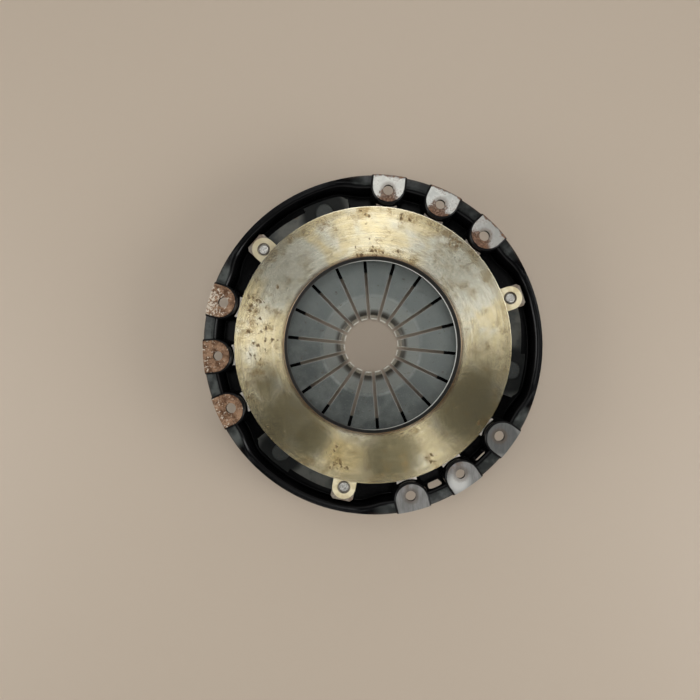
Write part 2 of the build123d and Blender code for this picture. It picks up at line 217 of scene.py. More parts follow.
def tint(red, green, blue):
    """A screen colour of 0 to 255 as the linear colour that a shader takes."""
    part = np.array([red, green, blue]) / 255
    linear = np.where(part <= 0.04045, part / 12.92, ((part + 0.055) / 1.055) ** 2.4)
    return (*linear.tolist(), 1.0)


print("a mid grey of 128 is", round(tint(128, 128, 128)[0], 3), "in linear light")

# %% [markdown]
# ## Camera, floor and light
# The assembly lies on its back and is seen from straight above, a little off centre, by a
# short lens, so the deep parts look smaller than the rim.

# %% Camera
CAMERA_PLACE = (-0.0131, -0.0072, 0.4217)
CAMERA_TURN = (0.34, 0.88, 0.02)
camera_data = bpy.data.cameras.new("camera")
camera_data.sensor_width = 36.0
camera_data.lens = 24.94
camera = bpy.data.objects.new("camera", camera_data)
camera.location = CAMERA_PLACE
camera.rotation_euler = [math.radians(angle) for angle in CAMERA_TURN]
scene.collection.objects.link(camera)
scene.camera = camera
print("camera", round(camera.location.z / MM), "mm above the bolt pads")

# %% [markdown]
# The floor is one plain pale colour, at the level of the flat ring that the cover stands on.

# %% Floor
floor_level = cad_box[0][2]
bpy.ops.mesh.primitive_plane_add(size=8.0, location=(0, 0, floor_level))
floor = bpy.context.object
floor.name = "floor"
pale = Finish("pale_floor")
floor.data.materials.append(pale.surface(Base_Color=tint(202, 186, 167), Roughness=0.6))
print("floor at", round(floor_level / MM, 2), "mm")

# %% [markdown]
# A ring that was ground in circles does not shine evenly: its fine grooves spread a lamp's
# reflection along the radius that points at the lamp, so every lamp draws a bright wedge.
# Five narrow lamps are therefore placed by the direction of the wedge they draw, all with the
# same lean. A broad ceiling lamp and two low side lamps light everything else.

# %% Lamps
def lamp(name, azimuth, lean, power, width, length, distance=1.35):
    """A rectangle of light, lean degrees from overhead, that faces the middle of the object."""
    data = bpy.data.lights.new(name, "AREA")
    data.shape = "RECTANGLE"
    data.size = width
    data.size_y = length
    data.energy = power
    turn = math.radians(azimuth)
    tilt = math.radians(lean)
    towards = Vector((math.cos(turn) * math.sin(tilt), math.sin(turn) * math.sin(tilt), math.cos(tilt)))
    made = bpy.data.objects.new(name, data)
    made.location = towards * distance
    made.rotation_euler = towards.to_track_quat("Z", "Y").to_euler()
    scene.collection.objects.link(made)


lamp("ceiling", 78, 38, 2.5, 1.1, 0.8, distance=1.6)
lamp("side_left", 190, 68, 11.0, 1.0, 0.7, distance=1.7)
lamp("side_right", 340, 68, 13.0, 1.0, 0.7, distance=1.7)

WEDGE_LEAN = 21
WEDGE_LAMP_LENGTH = 0.5
WEDGE_LAMPS = [  # name, direction in degrees, power in watts, width in metres
    ("lamp_top", 85, 1.28, 0.26),
    ("lamp_right", 16, 0.75, 0.12),
    ("lamp_left", 172, 1.0, 0.17),
    ("lamp_foot_right", 300, 0.65, 0.06),
    ("lamp_foot_left", 256, 0.4, 0.06),
]
for name, azimuth, power, width in WEDGE_LAMPS:
    lamp(name, azimuth, WEDGE_LEAN, power, width, WEDGE_LAMP_LENGTH)

# %% [markdown]
# Gloss paint mirrors its surroundings, so the world is a room: bright walls all round and a
# dark ceiling, which leaves flat black faces dark and draws light along their bends.

# %% World
def studio_world(overhead, horizon):
    """White walls round a darker ceiling: the strength falls as the direction points up."""
    made = bpy.data.worlds.new("studio")
    made.use_nodes = True
    tree = made.node_tree
    where = tree.nodes.new("ShaderNodeTexCoord")
    split = tree.nodes.new("ShaderNodeSeparateXYZ")
    share = tree.nodes.new("ShaderNodeMapRange")
    share.interpolation_type = "SMOOTHSTEP"
    share.inputs["From Min"].default_value = 0.1
    share.inputs["From Max"].default_value = 0.65
    share.inputs["To Min"].default_value = horizon
    share.inputs["To Max"].default_value = overhead
    tree.links.new(where.outputs["Generated"], split.inputs[0])
    tree.links.new(split.outputs["Z"], share.inputs["Value"])
    tree.links.new(share.outputs[0], tree.nodes["Background"].inputs["Strength"])
    tree.nodes["Background"].inputs["Color"].default_value = (1.0, 0.99, 0.97, 1.0)
    return made


scene.world = studio_world(overhead=0.06, horizon=1.2)
scene.view_settings.view_transform = "Standard"
print("world:", scene.world.name)

# %% [markdown]
# ## Paint over pressed steel
# The cover was dipped in gloss black after pressing, and only the nine pads that touch the
# flywheel are bare. Each group of pads has aged in its own way: pale and clean in one,
# brown with rust in the second, worn to grey steel in the third. All of it is one material
# that asks where it is: the height tells pad from paint, and the direction tells the group.

# %% Where the groups of pads lie
PAD_DIRECTIONS = {"pale": 64.2, "rusty": 184.2, "worn": 304.2}
PAD_PITCH = 20.0
PAD_PHASE = 4.2
BOLT_CIRCLE = 135.5


def from_axis(x, y):
    """Distance in millimetres from the turning axis."""
    return (x * x + y * y) ** 0.5


def facing(x, y, degrees):
    """How far a point lies towards a direction, in millimetres from the axis."""
    turn = math.radians(degrees)
    return x * math.cos(turn) + y * math.sin(turn)


def around(x, y, degrees, radius):
    """Distance in millimetres from a place given by direction and radius."""
    turn = math.radians(degrees)
    dx = x - radius * math.cos(turn)
    dy = y - radius * math.sin(turn)
    return from_axis(dx, dy)


def on_group(x, y, group):
    """1 on the named group of three pads and 0 on the other two groups."""
    return facing(x, y, PAD_DIRECTIONS[group]).rise(70.0, 71.0)


print("pad groups:", PAD_DIRECTIONS)

# %% [markdown]
# The pads are layers of colour, each with its mask. Worn grey steel lies at the bottom, bright
# steel covers it on the pale group, and rust eats in from each pad's nose and rim. Three
# places are scuffed or rubbed, and each is set by its direction and distance from the axis.

# %% Steel and rust of the pads
def mottled_rust(f, clouds, grain, share, dark, light):
    """Two browns, mixed by grain and clouds; share is the part of the grain."""
    return f.mix((grain * share + clouds * (1.0 - share)).rise(0.38, 0.62), dark, light)


def pad_steel(f, x, y, z, clouds, grain, flecks):
    """Steel of the worn and pale groups under its rust, and the mask of the pale group's rust."""
    radius = from_axis(x, y)
    pale = on_group(x, y, "pale")
    nose = (radius + (grain - 0.5) * 16.0 - facing(x, y, 4.0).rise(40.0, 100.0) * 3.0).rise(131.0, 126.0)
    edge = (radius + (clouds - 0.5) * 4.0).rise(146.0, 148.0)
    rust_clouds = (clouds * 0.65 + grain * 0.35).rise(0.42, 0.60)
    right_side = facing(x, y, 14.0).rise(20.0, 60.0)
    pale_rust = (nose * 0.9 + edge * 0.6 + rust_clouds * grain * 0.7 + right_side * 0.14).rise(0.3, 0.9)
    rust = mottled_rust(f, clouds, grain, 0.5, tint(60, 40, 30), tint(138, 101, 74))
    scuffs = f.noise(3.0, 4.0, 0.6, at=f.vector(x, y * 0.25, z))
    worn = f.mix(scuffs.rise(0.35, 0.65), tint(136, 135, 132), tint(158, 157, 154))
    colour = f.mix(grain.rise(0.62, 0.75) * 0.35 + nose * rust_clouds * 0.5, worn, rust)
    bright = f.mix(clouds.rise(0.35, 0.65), tint(204, 205, 199), tint(240, 240, 234))
    bright = f.mix(facing(x, y, -6.0).rise(30.0, 100.0) * 0.6, bright, tint(150, 146, 140))
    colour = f.mix(pale * (1.0 - pale_rust), colour, bright)
    colour = f.mix(pale * pale_rust * (flecks.rise(0.4, 0.55) * 0.45 + 0.5), colour, rust)
    dull = f.mix(scuffs, tint(80, 82, 82), tint(112, 113, 110))
    colour = f.mix(around(x, y, 324.2, 137.0).rise(16.0, 13.0) * 0.8, colour, dull)
    colour = f.mix(around(x, y, 302.0, 141.0).rise(13.0, 4.0) * 0.9, colour, tint(222, 221, 216))
    rubbed = around(x, y, 84.2, 137.0).rise(16.0, 13.0) * (1.0 - pale_rust) * 0.5
    return f.mix(rubbed, colour, tint(232, 230, 222)), pale_rust


print("pads: worn steel, bright steel, rust and three rubbed places")

# %% [markdown]
# Nine equal holes need one formula: the direction is folded into one pitch of twenty degrees,
# so that every hole lies at the middle of its own pitch. Stains and rust then follow the
# distance from that middle. The brown group is laid over its third at the end.

# %% Stains round the holes, and the brown group
def stained_pads(f, x, y, steel, clouds, grain, flecks):
    """The pads' steel with stains and crusts round the holes, and the flecked brown group."""
    radius = from_axis(x, y)
    turn = (y.math("ARCTAN2", x) * (180.0 / math.pi) - PAD_PHASE) / PAD_PITCH + 0.5
    beside = (turn.math("FRACT") - 0.5) * math.radians(PAD_PITCH) * radius
    beyond = radius - BOLT_CIRCLE
    off_hole = from_axis(beside, beyond)
    hole_stain = (off_hole + (grain - 0.5) * 3.0).rise(8.5, 5.0)
    rusty = on_group(x, y, "rusty")
    colour = f.mix((1.0 - rusty) * hole_stain * 0.5, steel, tint(104, 84, 66))
    hole_rust = (off_hole + beyond * 0.7 + (flecks - 0.5) * 16.0).rise(6.4, 4.6) * on_group(x, y, "pale")
    crust = f.mix(grain.rise(0.45, 0.6), tint(92, 68, 54), tint(150, 118, 96))
    colour = f.mix(hole_rust * 0.85, colour, crust)
    most_flecked = around(x, y, 166.0, 146.0).rise(22.0, 6.0) * 0.10
    pale_fleck = (flecks + radius.rise(138.0, 148.0) * 0.06 + most_flecked).rise(0.60, 0.68)
    old_rust = mottled_rust(f, clouds, grain, 0.4, tint(86, 60, 43), tint(162, 130, 104))
    return f.mix(rusty, colour, f.mix(pale_fleck, old_rust, tint(214, 202, 184)))


print("holes every", PAD_PITCH, "degrees on a circle of radius", BOLT_CIRCLE, "mm")

# %% [markdown]
# The paint is nearly black, and painted shade darkens it further in the deep parts. Dust and a
# painted sheen grey the level flange between the pads, dust lies in specks on the deep floor,
# and the outer rim is rubbed and chipped.

# %% Gloss black paint
def black_paint(f, x, y, z, clouds, fine):
    """Paint colour with painted shade and sheen, dust, rubbed rim and chips, and the mask of the dust
    specks.
    """
    rim = from_axis(x, y).rise(146.8, 148.2) * z.rise(-7.0, -3.4)
    chips = fine.rise(0.62, 0.7) * clouds.rise(0.45, 0.6) * rim
    dust = f.noise(1.1, 3.0, 0.7).rise(0.66, 0.74) * z.rise(-21.0, -25.0) * f.noise(16.0).rise(0.48, 0.6)
    # Partly dust, partly painted sheen: the level faces of the flange between the pads are greyed.
    flange = z.rise(-5.5, -3.2) * z.rise(-2.4, -2.8) * f.upward("Normal").rise(0.8, 0.97)
    dust_and_sheen = flange * (0.35 + f.noise(9.0, 3.0).rise(0.4, 0.7) * 0.65)
    paint = f.mix(f.noise(22.0).rise(0.3, 0.7), tint(3, 3, 4), tint(9, 9, 10))
    # Painted shade: below 14 mm under the pads the paint turns darker still, where the deep parts lie in
    # shade.
    paint = f.mix(z.rise(-14.0, -30.0) * 0.8, paint, tint(1, 1, 1))
    paint = f.mix(dust_and_sheen * (0.8 - on_group(x, y, "pale") * 0.45), paint, tint(92, 96, 93))
    paint = f.mix(rim * 0.35, paint, tint(74, 58, 50))
    paint = f.mix(dust * 0.7, paint, tint(120, 112, 104))
    return f.mix(chips * 0.8, paint, tint(176, 168, 158)), dust


print("paint: near black, darker below 14 mm under the pads")

# %% [markdown]
# One mask joins the two: above a level just under the pads' faces the steel is bare. The same
# mask turns the clear coat off, the metal on and the roughness up.

# %% The cover's finish
def cover_finish():
    f = Finish("gloss_black_paint")
    x, y, z = f.place()
    clouds = f.noise(7.0, 4.0, 0.6)
    grain = f.noise(1.6, 3.0, 0.65)
    fine = f.noise(0.5, 2.0, 0.6)
    flecks = f.noise(2.6, 3.0, 0.7)
    bare = (z + (grain - 0.5) * 0.25).rise(-0.2, -0.08)
    steel, pale_rust = pad_steel(f, x, y, z, clouds, grain, flecks)
    pads = stained_pads(f, x, y, steel, clouds, grain, flecks)
    paint, dust = black_paint(f, x, y, z, clouds, fine)
    rusted = on_group(x, y, "rusty") + on_group(x, y, "pale") * pale_rust
    shine = fine * 0.12 + 0.2 + dust * 0.4
    relief = f.noise(2.4, 2.0) * 0.3 + bare * (clouds * 0.5 + grain * 0.3 * rusted)
    return f.surface(
        Base_Color=f.mix(bare, paint, pads),
        Roughness=f.node("ShaderNodeMix", None, {0: bare, 2: shine, 3: clouds * 0.25 + 0.42}),
        Metallic=bare * (1.0 - rusted).rise(0.0, 1.0) * 0.75,
        Normal=f.bump(relief, 0.05),
        Specular_IOR_Level=0.06,
        Coat_Weight=(1.0 - bare) * (z.rise(-24.0, -4.0) * 0.2 + 0.02),
        Coat_Roughness=0.2,
    )


paint_material = cover_finish()
print("cover finish:", len(paint_material.node_tree.nodes), "nodes")

# %% [markdown]
# ## The ground friction face
# Grinding leaves thousands of concentric grooves. Instead of modelling them, the material
# leans the normal in or out along the radius, by an amount that changes every fraction of a
# millimetre. The iron is tinted straw; olive patches are partly heat tint and partly painted shade
# of the face's darker sectors; dust has stained it in clouds, and rust has pitted it in a few places.

# %% Sizes and marks of the plate
FRICTION_LEVEL = -5.0
FRICTION_OUTER = 122.0
FRICTION_INNER = 77.3
PATCH_CIRCLE = 100.0
# Olive patches, partly heat tint and partly painted shade of the face's darker sectors.
HEAT_AND_SHADE_PATCHES = [  # direction in degrees, strength, spread in millimetres
    (326, 1.0, 42), (280, 1.0, 34), (222, 0.7, 44), (240, 0.5, 20), (196, 0.6, 18),
    (350, 0.3, 24), (150, 0.2, 24),
]
PEPPERED = [  # direction in degrees, distance from the axis and spread in millimetres
    (112, 117, 9), (102, 118, 9), (92, 118, 9), (82, 118, 9), (72, 117, 11), (62, 116, 12),
    (54, 117, 10), (45, 119, 7), (98, 81, 8), (86, 81, 8), (74, 82, 8), (64, 82, 6),
    (165, 112, 11), (172, 106, 9), (158, 114, 8), (196, 104, 12), (252, 106, 9), (297, 112, 7),
]
PITTED = [  # the same three measures
    (178, 100, 18), (162, 110, 10), (190, 96, 12), (93, 84, 11), (78, 84, 9), (95, 112, 9),
    (75, 114, 9), (58, 116, 9), (50, 114, 8), (140, 116, 7), (254, 110, 10), (250, 98, 7),
    (298, 112, 7), (285, 106, 6),
]


def patches(x, y, places, wide, narrow):
    """Sum of round patches: each fades out between narrow and wide times its spread."""
    total = 0.0
    for direction, ring, spread in places:
        total = around(x, y, direction, ring).rise(spread * wide, spread * narrow) + total
    return total


print(len(HEAT_AND_SHADE_PATCHES), "heated,", len(PEPPERED), "peppered and", len(PITTED), "pitted places")

# %% [markdown]
# The face's colour starts as straw-tinted iron, greyer at two places. Rings from the grinding
# and faint radial streaks vary it, and olive patches, partly heat tint and partly painted shade,
# darken it in seven directions.

# %% Ground iron, heat tint and painted shade
def ground_iron(f, x, y, stain, streaks, outer_band):
    """Colour of the clean ground face, with its rings, streaks, heat tint and painted shade."""
    clouds = f.noise(34.0, 3.0, 0.55, warp=0.6)
    rings = f.lines(from_axis(x, y), 3.2, 4.0)
    grey_side = around(x, y, 42.0, 102.0).rise(52.0, 18.0) + around(x, y, 138.0, 100.0).rise(44.0, 14.0)
    straw = f.mix((clouds - grey_side * 0.3).rise(0.30, 0.58), tint(190, 187, 170), tint(196, 183, 146))
    straw = f.mix(stain.rise(0.42, 0.66) * 0.35, straw, tint(166, 156, 126))
    straw = f.mix(rings.rise(0.5, 0.7) * 0.25, straw, tint(216, 209, 190))
    straw = f.mix(streaks.rise(0.48, 0.28) * 0.2, straw, tint(222, 212, 180))
    # Painted shade, partly heat tint: olive patches darken the face in the listed directions.
    heat_and_shade = 0.0
    for direction, strength, spread in HEAT_AND_SHADE_PATCHES:
        patch = around(x, y, direction, PATCH_CIRCLE).rise(spread * 1.2, spread * 0.3)
        heat_and_shade = patch * strength + heat_and_shade
    heat_and_shade = (heat_and_shade + (clouds - 0.5) * 0.35).rise(0.0, 1.0)
    straw = f.mix(heat_and_shade, straw, tint(124, 116, 90))
    straw = f.mix(around(x, y, 256.0, PATCH_CIRCLE).rise(24.0, 8.0) * 0.7, straw, tint(186, 166, 112))
    return f.mix(outer_band * 0.4, straw, tint(146, 134, 102))


print("heat tints on a circle of radius", PATCH_CIRCLE, "mm")

# %% [markdown]
# Rust spots are a lottery: a Voronoi pattern cuts the face into cells, each cell draws a
# number, and only cells with a low number get a spot. In the pitted places more cells win.

# %% Rust spots and tarnish
def rust_spots(f, x, y, stain, grain, pitted):
    """Masks of the rust spots and of the wider halo round each."""
    cell_place = f.vector(x + (stain - 0.5) * 9.0, (y + (grain - 0.5) * 1.6) * 0.8, 0.0)
    cells = {"Vector": cell_place, "Scale": 1.0 / 3.2}
    lottery = f.node("ShaderNodeTexVoronoi", None, cells, out="Color")
    drawn = f.node("ShaderNodeSeparateXYZ", None, {0: lottery}, out=0)
    size = f.node("ShaderNodeSeparateXYZ", None, {0: lottery}, out=1)
    off_centre = f.node("ShaderNodeTexVoronoi", None, cells, out="Distance") + (grain - 0.5) * 1.5
    wins = drawn < 0.01 + pitted.rise(0.0, 1.3) * 0.5
    grown = off_centre - size * 0.3
    return grown.rise(0.24, 0.06) * wins, grown.rise(0.5, 0.06) * wins


def aged_iron(f, x, y, straw, stain, grain, streaks, outer_band):
    """The face's colour under tarnish, pepper, spots and a painted edge highlight, and the mask of the
    spots.
    """
    radius = from_axis(x, y)
    pitted = patches(x, y, PITTED, 1.3, 0.4)
    peppered = patches(x, y, PEPPERED, 1.2, 0.3)
    spots, halo = rust_spots(f, x, y, stain, grain, pitted)
    tarnish = (stain * 0.7 + grain * 0.3 + pitted * 0.07 + outer_band * 0.05).rise(0.55, 0.66)
    straw = f.mix(tarnish * 0.4, straw, tint(140, 120, 78))
    straw = f.mix(streaks.rise(0.5, 0.75) * 0.35, straw, tint(112, 92, 56))
    pepper = (grain * 0.6 + stain * 0.4 + peppered * 0.10).rise(0.55, 0.68)
    straw = f.mix(pepper * 0.65, straw, tint(122, 98, 60))
    straw = f.mix(halo * 0.4, straw, tint(136, 108, 66))
    straw = f.mix(spots * 0.85, straw, tint(100, 76, 42))
    # Painted highlight: a thin bright line along the outer edge, on the side towards 60 degrees.
    edge_highlight = radius.rise(121.0, 121.6) * facing(x, y, 60.0).rise(40.0, 90.0)
    straw = f.mix(edge_highlight * 0.6, straw, tint(240, 232, 206))
    inner_edge = (radius + (stain - 0.5) * 4.0).rise(FRICTION_INNER + 4.4, FRICTION_INNER + 0.8)
    return f.mix(inner_edge * 0.8, straw, tint(88, 62, 36)), spots


print("rust gathers at the inner edge,", FRICTION_INNER, "mm from the axis")

# %% [markdown]
# The rest of the plate was never ground. Its wall inside the ring is dark brown, painted darker
# as shade, with a painted glint at its foot on the lit side; the nubs on its rim are pale, but
# painted shade keeps those by the pale group of pads dark; each lug has a ring of painted shade
# round its rivet, and painted shade darkens the lug that faces 124 degrees.
# The lugs and the cover's strap seats lie half a strap's span to either side of each bay.

# %% Cast sides, nubs and lugs
STRAP_CIRCLE = 128.0
STRAP_SPAN = 29.0
BAY_DIRECTIONS = (124.2, 244.2, 4.2)
LUG_DIRECTIONS = [bay + STRAP_SPAN / 2 for bay in BAY_DIRECTIONS]


def cast_iron(f, x, y, z, stain, grain, lug_top):
    """Colour of everything on the plate but its ground face."""
    radius = from_axis(x, y)
    cast = f.mix(grain.rise(0.3, 0.7), tint(118, 108, 96), tint(172, 162, 148))
    cast = f.mix(stain.rise(0.45, 0.62) * 0.6, cast, tint(112, 84, 60))
    # Painted shade: the wall inside the ring is dark brown, painted nearly black.
    wall = f.mix(stain.rise(0.35, 0.65), tint(12, 9, 7), tint(30, 23, 17))
    # Painted highlight: a bright glint along the wall's foot, strongest on the lit side.
    lit_side = facing(x, y, 5.0).rise(-36.0, 6.0) * 0.9 + 0.1
    wall = f.mix(z.rise(-18.4, -19.4) * lit_side, wall, tint(240, 240, 232))
    cast = f.mix(radius < FRICTION_INNER + 1.5, cast, wall)
    nub_top = (radius > FRICTION_OUTER + 0.1) * z.rise(-9.5, -8.0) * (1.0 - lug_top)
    nub_top = nub_top * f.upward("True Normal").rise(0.5, 0.8)
    # Painted shade: the nubs by the pale group of pads keep the dark cast colour.
    nub_top = nub_top * (1.0 - facing(x, y, PAD_DIRECTIONS["pale"]).rise(60.0, 90.0) * 0.85)
    cast = f.mix(nub_top, cast, tint(246, 238, 226))
    lug = f.mix(stain.rise(0.4, 0.65), tint(244, 232, 196), tint(220, 204, 162))
    # Painted shade: the lug that faces 124 degrees is darker.
    lug = f.mix(facing(x, y, 124.0).rise(90.0, 115.0) * 0.65, lug, tint(176, 165, 136))
    # Painted shade: a dark ring round each lug's rivet head.
    rivet_shade_ring = 0.0
    for direction in LUG_DIRECTIONS:
        rivet_shade_ring = around(x, y, direction, STRAP_CIRCLE).rise(6.0, 5.3) + rivet_shade_ring
    lug = f.mix(rivet_shade_ring * 0.9, lug, tint(44, 38, 28))
    return f.mix(lug_top, cast, lug)


print("lugs at", LUG_DIRECTIONS, "degrees")

# %% [markdown]
# The grooves are a lean of the normal along the radius, added to the flat normal of the face
# and made one unit long again. The finish then joins the ground face to the cast rest.

# %% The plate's finish
def grooved_normal(f, x, y, ground):
    """The normal, leaned in or out by fine and broad grooves where the face is ground."""
    radius = from_axis(x, y)
    fine_grooves = f.lines(radius, 0.16, 2.0) - 0.5
    broad_grooves = f.lines(radius, 1.7, 2.0) - 0.5
    out = (fine_grooves * 0.5 + broad_grooves * 0.10) * ground / radius
    leaning = f.vector(x * out, y * out, 0.0)
    shaded = f.node("ShaderNodeNewGeometry", out="Normal")
    flat = f.node("ShaderNodeNewGeometry", out="True Normal")
    upright = f.node("ShaderNodeMix", {"data_type": "VECTOR"}, {0: ground, 4: shaded, 5: flat}, out=1)
    tilted = f.node("ShaderNodeVectorMath", {"operation": "ADD"}, {0: upright, 1: leaning})
    return f.node("ShaderNodeVectorMath", {"operation": "NORMALIZE"}, {0: tilted})


def plate_finish():
    f = Finish("ground_cast_iron")
    x, y, z = f.place()
    radius = from_axis(x, y)
    ground = z.rise(FRICTION_LEVEL - 0.5, FRICTION_LEVEL - 0.2) * (radius < FRICTION_OUTER + 0.1)
    lug_top = z.rise(-6.9, -6.3) * (radius > FRICTION_OUTER)
    stain = f.noise(9.0, 4.0, 0.6)
    grain = f.noise(1.3, 3.0, 0.7)
    streaks = f.noise(1.0, 3.0, 0.65, at=f.vector(radius * 1.5, x / radius * 7.0, y / radius * 7.0))
    outer_band = (radius + (stain - 0.5) * 9.0).rise(112.0, 117.0)
    straw = ground_iron(f, x, y, stain, streaks, outer_band)
    face, spots = aged_iron(f, x, y, straw, stain, grain, streaks, outer_band)
    relief = grain * (1.0 - ground) * 0.6 - spots * ground * 0.35
    smooth_part = (ground + lug_top * 0.6).rise(0.0, 1.0)
    return f.surface(
        Base_Color=f.mix(ground, cast_iron(f, x, y, z, stain, grain, lug_top), face),
        Roughness=0.62 - smooth_part * 0.36 + spots * 0.3,
        Metallic=(ground * 0.95 + lug_top * 0.15 + 0.1).rise(0.0, 1.2) * (1.0 - spots * 0.8),
        Normal=f.bump(relief, 0.12, grooved_normal(f, x, y, ground)),
    )


plate_material = plate_finish()
print("plate finish:", len(plate_material.node_tree.nodes), "nodes")

# %% [markdown]
# ## Spring steel, strap steel and rivets
# The diaphragm is hardened, oiled steel of a cold blue grey. Its fingers are lighter in a band
# along their bend, painted shade darkens the step before their tips, and the tips are rubbed
# bright by the release bearing. A painted highlight lines the slots' edges. The leaves are
# plain rolled strip, and the rivet heads were formed by a bright die.

# %% Diaphragm steel
TIP_STEP = 31.5
FINGER_BEND = 47.0
FIRST_SLOT = 14.4
SLOT_PITCH = 20.0
SLOT_HALF = 1.5


def spring_finish():
    f = Finish("oiled_spring_steel")
    x, y, _ = f.place()
    radius = from_axis(x, y)
    clouds = f.noise(18.0, 3.0, 0.6)
    grain = f.noise(0.9, 3.0, 0.7)
    # The spring's steel is darker towards 245 degrees, with a cloudy edge between its two greys.
    darker_towards_245 = (facing(x, y, 245.0) + (clouds - 0.5) * 30.0).rise(-55.0, 60.0)
    steel = f.mix(darker_towards_245, tint(128, 134, 131), tint(84, 88, 86))
    steel = f.mix(clouds.rise(0.35, 0.65) * 0.25, steel, tint(150, 154, 148))
    steel = f.mix(grain.rise(0.55, 0.75) * 0.4, steel, tint(172, 172, 164))
    # Lighter in a band along the fingers' bend.
    bend = radius.rise(FINGER_BEND - 1.6, FINGER_BEND) * radius.rise(FINGER_BEND + 3.2, FINGER_BEND + 0.6)
    steel = f.mix(bend * (clouds - 0.3) * 1.1, steel, tint(188, 191, 184))
    inner = radius.rise(FINGER_BEND, FINGER_BEND - 2.0)
    steel = f.mix(inner * 0.3, steel, tint(178, 178, 168))
    # Painted shade: the steep step before the finger tips is painted dark.
    step = radius.rise(27.6, 28.8) * radius.rise(TIP_STEP + 4.4, TIP_STEP + 0.8)
    steel = f.mix(step * 0.85, steel, tint(66, 60, 52))
    worn_edge = (grain * 0.6 + radius.rise(27.0, 25.3) * 0.5).rise(0.3, 0.75)
    rubbed = f.mix(worn_edge, tint(140, 131, 114), tint(240, 234, 220))
    steel = f.mix(radius.rise(29.6, 28.9) * 0.85, steel, rubbed)
    # Painted highlight: a bright line along each slot's edges.
    turn = (y.math("ARCTAN2", x) * (180.0 / math.pi) - FIRST_SLOT) / SLOT_PITCH
    off_slot = 0.5 - (turn.math("FRACT") - 0.5).math("ABSOLUTE")
    slot_edge_highlight = (off_slot * radius * math.radians(SLOT_PITCH)).rise(SLOT_HALF + 0.75, SLOT_HALF + 0.15)
    slot_edge_highlight = slot_edge_highlight * radius.rise(70.0, 66.0)
    steel = f.mix(slot_edge_highlight * 0.5, steel, tint(196, 194, 184))
    rust = f.noise(4.0, 4.0, 0.65).rise(0.62, 0.72)
    steel = f.mix(rust * 0.5, steel, tint(92, 70, 50))
    relief = grain * 0.5 + clouds * 0.5
    return f.surface(
        Base_Color=steel, Roughness=0.36 + grain * 0.18 + rust * 0.2, Metallic=0.8,
        Normal=f.bump(relief, 0.03),
    )


spring_material = spring_finish()
print("spring finish:", len(spring_material.node_tree.nodes), "nodes")

# %% [markdown]
# Painted shade darkens the leaves to nearly black round the cover's rivets, deep in the bays.

# %% Leaf steel
SEAT_DIRECTIONS = [bay - STRAP_SPAN / 2 for bay in BAY_DIRECTIONS]


def strap_finish():
    f = Finish("rolled_strap_steel")
    clouds = f.noise(12.0, 3.0, 0.6)
    grain = f.noise(0.8, 3.0, 0.7)
    steel = f.mix(clouds.rise(0.35, 0.65), tint(70, 72, 70), tint(98, 98, 92))
    steel = f.mix(f.noise(3.0, 4.0, 0.65).rise(0.6, 0.7) * 0.6, steel, tint(88, 70, 54))
    x, y, _ = f.place()
    # Painted shade: the leaves darken to nearly black round the cover's rivets, deep in the bays.
    seat_shade = 0.0
    for direction in SEAT_DIRECTIONS:
        seat_shade = around(x, y, direction, STRAP_CIRCLE).rise(25.0, 17.0) + seat_shade
    steel = f.mix(seat_shade * 0.9, steel, tint(20, 22, 22))
    return f.surface(
        Base_Color=steel, Roughness=0.38 + grain * 0.2, Metallic=0.8, Normal=f.bump(grain, 0.02),
    )


strap_material = strap_finish()
print("strap seats at", SEAT_DIRECTIONS, "degrees")

# %% [markdown]
# Rivets come in two steels from one formula: bright in the plate's lugs, and in the cover a copy
# darkened as painted shade.

# %% Rivet steel
def rivet_finish(name, light, dark):
    f = Finish(name)
    grain = f.noise(0.9, 3.0, 0.7)
    steel = f.mix(grain.rise(0.4, 0.7), light, dark)
    steel = f.mix(f.noise(2.2, 3.0, 0.6).rise(0.58, 0.7) * 0.5, steel, tint(84, 66, 50))
    return f.surface(
        Base_Color=steel, Roughness=0.34 + grain * 0.2, Metallic=0.85, Normal=f.bump(grain, 0.03),
    )


bright_rivet = rivet_finish("bright_rivet_steel", tint(226, 224, 216), tint(120, 117, 110))
# Painted shade: the cover's rivets are a darkened copy of the same steel.
shaded_rivet = rivet_finish("shaded_rivet_steel", tint(72, 75, 73), tint(54, 55, 52))
print("rivet steels:", bright_rivet.name, shaded_rivet.name)

# %% [markdown]
# ## Smooth copies of the big solids
# The solids arrive as loose triangles, which glossy paint would show as facets. A copy is
# merged along its seams, shaded smooth except across real edges, and its normals are
# weighted by area, so that flat faces stay flat next to their bends.

# %% Merged copies of the cover, the plate and the spring
def smooth_copy(node, name, material, crease=32.0):
    """The node's mesh with its seams merged, smooth across any edge flatter than crease."""
    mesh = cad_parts[node].data.copy()
    mesh.name = name
    work = bmesh.new()
    work.from_mesh(mesh)
    bmesh.ops.remove_doubles(work, verts=work.verts, dist=0.002 * MM)
    for face in work.faces:
        face.smooth = True
    for edge in work.edges:
        edge.smooth = edge.calc_face_angle(0.0) < math.radians(crease)
    work.to_mesh(mesh)
    work.free()
    mesh.materials.clear()
    mesh.materials.append(material)
    piece = bpy.data.objects.new(name, mesh)
    scene.collection.objects.link(piece)
    weigh = piece.modifiers.new("weigh", "WEIGHTED_NORMAL")
    weigh.keep_sharp = True
    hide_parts(node)
    return piece


cover_skin = smooth_copy("cover", "painted_cover", paint_material)
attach(cover_skin, "cover")
plate_skin = smooth_copy("pressure_plate", "ground_plate", plate_material)
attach(plate_skin, "pressure_plate")
spring_skin = smooth_copy("diaphragm_spring", "slotted_spring", spring_material)
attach(spring_skin, "cover")
for piece in (cover_skin, plate_skin, spring_skin):
    print(piece.name, len(piece.data.polygons), "faces")

# %% [markdown]
# ## Surfaces from arrays
# The leaves, rings and rivets are simple enough to be worked out as formulas. A grid helper
# turns two arrays of parameters into a closed mesh without a loop over its points.

